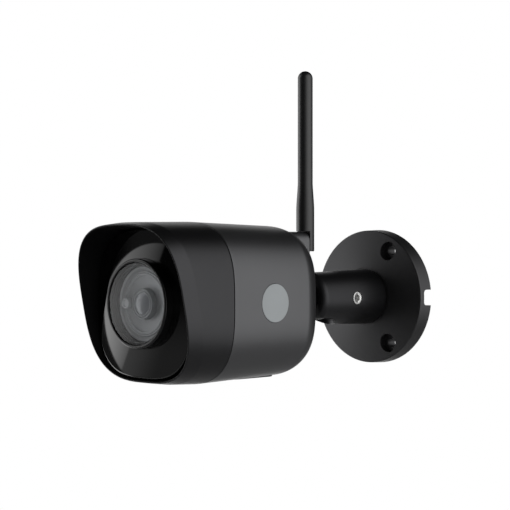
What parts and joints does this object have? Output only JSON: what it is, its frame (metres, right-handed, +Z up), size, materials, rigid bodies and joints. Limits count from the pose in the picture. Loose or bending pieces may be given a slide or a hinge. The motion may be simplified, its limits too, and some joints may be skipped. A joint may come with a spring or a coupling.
{
  "type": "outdoor bullet security camera with wall bracket and antenna",
  "caption": "Bullet security camera with a slanted hood and round window, on a ball-jointed wall arm with a round base, and a swivelling stick antenna.",
  "frame": {"origin": "centre of the base cup's wall face, which is also the centre of the wall screw circle", "axes": "+Y points into the wall, +Z is up, the lens looks along -Y and +X is the side with the badge"},
  "size_m": [0.074, 0.1796, 0.1506],
  "materials": {
    "bracket_paint": "satin dark grey paint",
    "joint_metal": "satin black",
    "housing_paint": "satin dark grey paint",
    "hood_paint": "satin charcoal paint",
    "steel": "zinc plated",
    "rubber": "matt",
    "panel_gloss": "mirror gloss black",
    "ring_plastic": "satin",
    "window_clear": "clear, slightly hazy",
    "lens_clear": "coated lens",
    "grey_plastic": "satin light grey",
    "black_plastic": "matt black",
    "board_green": "solder resist",
    "lamp_clear": "clear resin",
    "sensor_glass": "silicon under a cover glass",
    "brass": "turned",
    "bare_aluminium": "bare",
    "button_white": "satin",
    "badge_plain": "satin pale grey",
    "antenna_plastic": "satin charcoal",
    "lead_jacket": "smooth"
  },
  "bodies": {
    "wall_base": {"base_cup": "bracket_paint"},
    "arm_body": {"arm": "bracket_paint", "arm_clip": "steel", "pan_washer": "rubber", "pressure_plug": "joint_metal"},
    "lock_screw_body": {"lock_screw": "steel"},
    "ball_body": {"ball_stem": "joint_metal", "stem_washer": "steel", "stem_nut": "steel"},
    "housing_body": {"rear_housing": "housing_paint", "front_hood": "hood_paint", "housing_seal": "rubber", "housing_screws": "steel", "front_panel": "panel_gloss", "window_ring": "ring_plastic", "window_gasket": "rubber", "window_glass": "window_clear", "ir_lens_ring": "grey_plastic", "lens_bezel": "grey_plastic", "light_sensor": "black_plastic", "ir_board": "board_green", "ir_lamps": "lamp_clear", "module_plate": "ring_plastic", "module_pillars": "brass", "lens_barrel": "black_plastic", "front_lens": "lens_clear", "rear_lens": "lens_clear", "lens_holder": "black_plastic", "image_sensor": "sensor_glass", "sensor_board": "board_green", "chassis": "bare_aluminium", "main_board": "board_green", "main_chip": "black_plastic", "heat_sink": "bare_aluminium", "card_board": "board_green", "card_socket": "steel", "memory_card": "black_plastic", "reset_switch": "black_plastic", "speaker": "black_plastic", "microphone": "grey_plastic", "underside_cover": "hood_paint", "cover_gasket": "rubber", "cover_screws": "steel", "side_badge": "badge_plain", "antenna_washer": "rubber", "antenna_lead": "lead_jacket"},
    "antenna_body": {"antenna": "antenna_plastic", "antenna_pin": "steel"},
    "reset_body": {"reset_button": "button_white"}
  },
  "joints": [
    {"name": "arm_pan", "type": "hinge", "parent": "wall_base", "child": "arm_body", "pos_m": [0, 0, 0], "axis": [0, 1, 0], "range_deg": [-180, 180]},
    {"name": "ball_tilt", "type": "hinge", "parent": "arm_body", "child": "ball_body", "pos_m": [0, -0.0483, 0], "axis": [1, 0, 0], "range_deg": [0, 90]},
    {"name": "housing_roll", "type": "hinge", "parent": "ball_body", "child": "housing_body", "pos_m": [0, -0.0787, 0], "axis": [0, 1, 0], "range_deg": [-60, 60]},
    {"name": "antenna_turn", "type": "hinge", "parent": "housing_body", "child": "antenna_body", "pos_m": [0, -0.0576, 0.0287], "axis": [0, 1, 0], "range_deg": [-90, 90]},
    {"name": "lock_screw_turn", "type": "hinge", "parent": "arm_body", "child": "lock_screw_body", "pos_m": [0.011, -0.0327, 0], "axis": [1, 0, 0], "range_deg": [-180, 180]},
    {"name": "reset_press", "type": "slide", "parent": "housing_body", "child": "reset_body", "axis": [0, 0, 1], "range_m": [0, 0.0005], "stiffness_N_per_m": 600}
  ]
}
